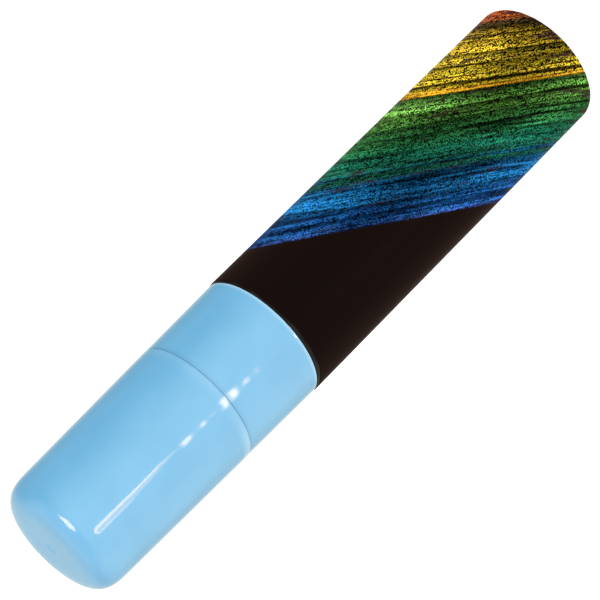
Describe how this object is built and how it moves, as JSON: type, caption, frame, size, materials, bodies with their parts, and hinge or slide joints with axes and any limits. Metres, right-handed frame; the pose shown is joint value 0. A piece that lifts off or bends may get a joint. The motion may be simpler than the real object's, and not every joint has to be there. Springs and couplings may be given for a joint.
{
  "type": "liquid chalk marker",
  "caption": "Jumbo liquid chalk marker with a push-on cap, sprung valve pump, block felt nib and loose mixing balls in a printed barrel.",
  "frame": {"origin": "centre of the flat tail base", "axes": "+Z along the marker from the tail to the cap's end; +X along the wide side of the nib"},
  "size_m": [0.03, 0.03, 0.153],
  "materials": {
    "black_barrel": "moulded black polypropylene, smooth",
    "printed_film": "glossy printed film, black with rainbow chalk hatching",
    "blue_plastic": "glossy light blue moulding",
    "liner_plastic": "natural white polyethylene",
    "nib_felt": "pressed white polyester felt",
    "valve_plastic": "natural polypropylene",
    "seal_rubber": "soft black rubber",
    "spring_steel": "drawn stainless wire",
    "ball_steel": "polished stainless steel"
  },
  "bodies": {
    "barrel_body": {"barrel": "black_barrel", "printed_sleeve": "printed_film", "front_section": "blue_plastic", "barrel_seal": "seal_rubber", "valve_seat": "valve_plastic", "valve_gasket": "seal_rubber", "valve_cage": "valve_plastic", "valve_spring": "spring_steel"},
    "cap_body": {"cap": "blue_plastic", "cap_liner": "liner_plastic"},
    "nib_pump": {"nib": "nib_felt", "valve_stem": "valve_plastic", "stem_seal": "seal_rubber"},
    "ball_a": {"mixing_ball_a": "ball_steel"},
    "ball_b": {"mixing_ball_b": "ball_steel"}
  },
  "joints": [
    {"name": "cap_pull", "type": "slide", "parent": "barrel_body", "child": "cap_body", "axis": [0, 0, 1], "range_m": [0, 0.06]},
    {"name": "nib_press", "type": "slide", "parent": "barrel_body", "child": "nib_pump", "axis": [0, 0, -1], "range_m": [0, 0.0025], "stiffness_N_per_m": 500, "springref_m": -0.004, "deforming": ["valve_spring"]},
    {"name": "ball_a_travel", "type": "slide", "parent": "barrel_body", "child": "ball_a", "axis": [0, 0, 1], "range_m": [0, 0.0744]},
    {"name": "ball_b_travel", "type": "slide", "parent": "barrel_body", "child": "ball_b", "axis": [0, 0, 1], "range_m": [0, 0.0744]}
  ]
}
